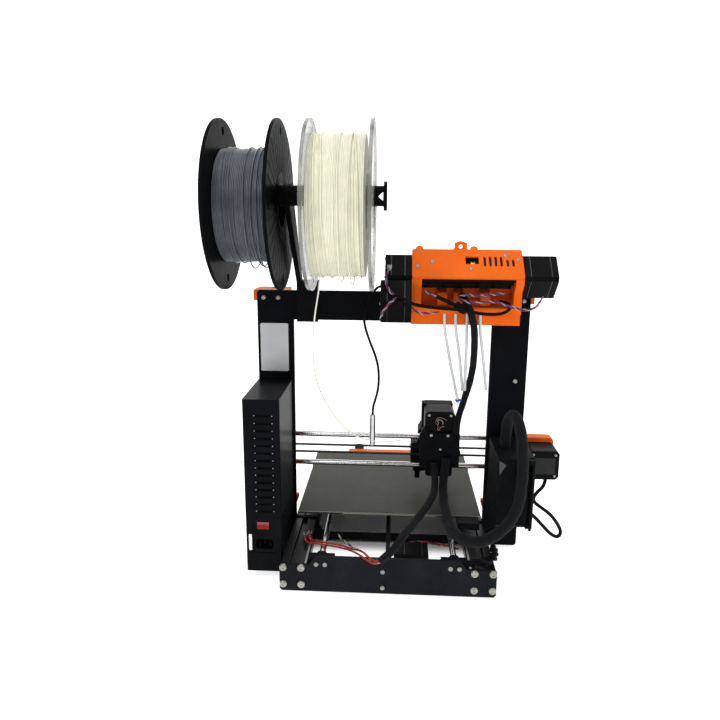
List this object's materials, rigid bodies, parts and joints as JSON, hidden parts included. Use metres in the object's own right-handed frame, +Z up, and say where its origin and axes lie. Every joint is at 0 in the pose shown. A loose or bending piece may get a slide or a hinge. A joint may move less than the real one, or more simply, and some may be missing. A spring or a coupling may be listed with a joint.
{
  "type": "fdm printer",
  "caption": "Desktop filament printer with a moving bed, gantry, extruder, filament changer and two spools.",
  "frame": {"origin": "on the floor, under the middle of the whole machine without its cords", "axes": "+Z up; -Y is the user's front, where the display is; +X is the user's right, the power supply's side"},
  "size_m": [0.4616, 0.484, 0.582],
  "materials": {
    "bed_black": "satin",
    "belt_rubber": "matte",
    "black_housing": "satin",
    "black_print": "matte",
    "black_steel": "satin",
    "brass": "satin",
    "cable_sleeve": "matte",
    "circuit_board": "matte",
    "dark_profile": "satin",
    "grey_plastic": "gloss",
    "motor_black": "satin",
    "orange_print": "matte",
    "pulley_metal": "satin",
    "red_plastic": "gloss",
    "rod_steel": "polished",
    "rubber": "matte",
    "screen_glass": "gloss",
    "screw_steel": "satin",
    "spool_black": "gloss",
    "spool_clear": "gloss",
    "spring_steel": "satin",
    "white_plastic": "gloss"
  },
  "bodies": {
    "base": {"frame_plate": "black_steel", "end_plates": "black_steel", "extrusions": "dark_profile", "rubber_feet": "rubber", "frame_screws": "screw_steel", "psu_housing": "black_housing", "psu_cover": "black_print", "electronics_case": "black_print", "control_board": "circuit_board", "z_axis_mounts": "orange_print", "fixed_motors": "motor_black", "smooth_rods": "rod_steel", "y_axis_mounts": "black_print", "y_belt": "belt_rubber", "display_cover": "orange_print", "display_screen": "screen_glass", "mmu_body": "orange_print", "mmu_cover": "orange_print", "spool_holder": "black_print", "filament_probe": "pulley_metal", "extruder_cable_lower": "cable_sleeve", "mmu_cable": "cable_sleeve", "loose_sleeve": "cable_sleeve", "loose_wires": "red_plastic", "x_motor_cable": "cable_sleeve", "probe_cable": "cable_sleeve", "filament_strand": "white_plastic", "ptfe_tubes": "white_plastic"},
    "rocker": {"power_switch": "red_plastic"},
    "case_door": {"electronics_door": "black_print"},
    "left_screw": {"lead_screw_left": "rod_steel"},
    "right_screw": {"lead_screw_right": "rod_steel"},
    "y_drive": {"y_pulley": "pulley_metal"},
    "y_return": {"y_idler": "pulley_metal"},
    "bed": {"y_carriage": "black_steel", "heatbed": "bed_black", "steel_sheet": "spring_steel", "bed_cable_cover": "black_print"},
    "gantry": {"x_end_motor_side": "orange_print", "x_end_idler_side": "orange_print", "x_rods": "rod_steel", "x_motor": "motor_black", "x_belt": "belt_rubber"},
    "x_drive": {"x_pulley": "pulley_metal"},
    "x_return": {"x_idler": "pulley_metal"},
    "carriage": {"x_carriage": "black_print", "extruder_body": "black_print", "extruder_motor": "motor_black", "hotend": "brass", "cooling_fans": "black_housing", "extruder_cable_upper": "cable_sleeve"},
    "idler_door": {"extruder_door": "black_print"},
    "hotend_fan": {"hotend_fan_rotor": "black_housing"},
    "print_fan": {"print_fan_rotor": "black_housing"},
    "knob": {"display_knob": "black_print"},
    "mmu_shaft": {"mmu_pulley_shaft": "rod_steel"},
    "grey_reel": {"grey_spool": "spool_black", "grey_filament": "grey_plastic"},
    "white_reel": {"white_spool": "spool_clear", "white_filament": "white_plastic"}
  },
  "joints": [
    {"name": "gantry_lift", "type": "slide", "parent": "base", "child": "gantry", "axis": [0, 0, 1], "range_m": [-0.0127, 0.185], "deforming": ["extruder_cable_lower", "mmu_cable", "loose_sleeve", "x_motor_cable"]},
    {"name": "carriage_travel", "type": "slide", "parent": "gantry", "child": "carriage", "axis": [1, 0, 0], "range_m": [-0.05, 0.183], "deforming": ["extruder_cable_upper", "mmu_cable", "loose_sleeve"]},
    {"name": "bed_travel", "type": "slide", "parent": "base", "child": "bed", "axis": [0, 1, 0], "range_m": [-0.0966, 0.1134]},
    {"name": "left_screw_turn", "type": "hinge", "parent": "base", "child": "left_screw", "pos_m": [0.17808, 0.0247, 0.2], "axis": [0, 0, 1], "range_deg": [-700, 8400]},
    {"name": "right_screw_turn", "type": "hinge", "parent": "base", "child": "right_screw", "pos_m": [-0.15393, 0.0247, 0.2], "axis": [0, 0, 1], "range_deg": [-700, 8400]},
    {"name": "x_pulley_turn", "type": "hinge", "parent": "gantry", "child": "x_drive", "pos_m": [-0.20592, 0.0097, 0.1285], "axis": [0, 1, 0], "range_deg": [-600, 2100]},
    {"name": "x_idler_turn", "type": "hinge", "parent": "gantry", "child": "x_return", "pos_m": [0.19407, 0.0097, 0.1285], "axis": [0, 1, 0], "range_deg": [-600, 2100]},
    {"name": "y_pulley_turn", "type": "hinge", "parent": "base", "child": "y_drive", "pos_m": [0.01208, 0.156, 0.026], "axis": [-1, 0, 0], "range_deg": [-1100, 1300]},
    {"name": "y_idler_turn", "type": "hinge", "parent": "base", "child": "y_return", "pos_m": [0.01208, -0.133, 0.026], "axis": [-1, 0, 0], "range_deg": [-1100, 1300]},
    {"name": "power_rocker", "type": "hinge", "parent": "base", "child": "rocker", "pos_m": [0.17458, 0.1625, 0.0776], "axis": [1, 0, 0], "range_deg": [-12, 0]},
    {"name": "case_door_hinge", "type": "hinge", "parent": "base", "child": "case_door", "pos_m": [-0.16992, 0.1555, 0.1265], "axis": [0, 0, -1], "range_deg": [0, 110]},
    {"name": "idler_door_hinge", "type": "hinge", "parent": "carriage", "child": "idler_door", "pos_m": [-0.03628, -0.006, 0.1655], "axis": [0, 1, 0], "range_deg": [0, 95]},
    {"name": "hotend_fan_spin", "type": "hinge", "parent": "carriage", "child": "hotend_fan", "pos_m": [-0.02492, -0.015, 0.12], "axis": [1, 0, 0], "continuous": true},
    {"name": "print_fan_spin", "type": "hinge", "parent": "carriage", "child": "print_fan", "pos_m": [-0.05792, -0.039, 0.133], "axis": [0, 1, 0], "continuous": true},
    {"name": "knob_turn", "type": "hinge", "parent": "base", "child": "knob", "pos_m": [0.07007, -0.21555, 0.04209], "axis": [0, -0.5647, 0.8253], "continuous": true},
    {"name": "mmu_shaft_turn", "type": "hinge", "parent": "base", "child": "mmu_shaft", "pos_m": [-0.08292, 0.09, 0.388], "axis": [1, 0, 0], "continuous": true},
    {"name": "grey_spool_turn", "type": "hinge", "parent": "base", "child": "grey_reel", "pos_m": [0.18207, 0.142, 0.482], "axis": [1, 0, 0], "continuous": true},
    {"name": "white_spool_turn", "type": "hinge", "parent": "base", "child": "white_reel", "pos_m": [0.07408, 0.142, 0.482], "axis": [1, 0, 0], "continuous": true}
  ],
  "couplings": [
    {"joint": "left_screw_turn", "follows": "gantry_lift", "rad_per_m": 785.4},
    {"joint": "right_screw_turn", "follows": "gantry_lift", "rad_per_m": 785.4},
    {"joint": "x_pulley_turn", "follows": "carriage_travel", "rad_per_m": 196.35},
    {"joint": "x_idler_turn", "follows": "carriage_travel", "rad_per_m": 196.35},
    {"joint": "y_pulley_turn", "follows": "bed_travel", "rad_per_m": 196.35},
    {"joint": "y_idler_turn", "follows": "bed_travel", "rad_per_m": 196.35}
  ]
}
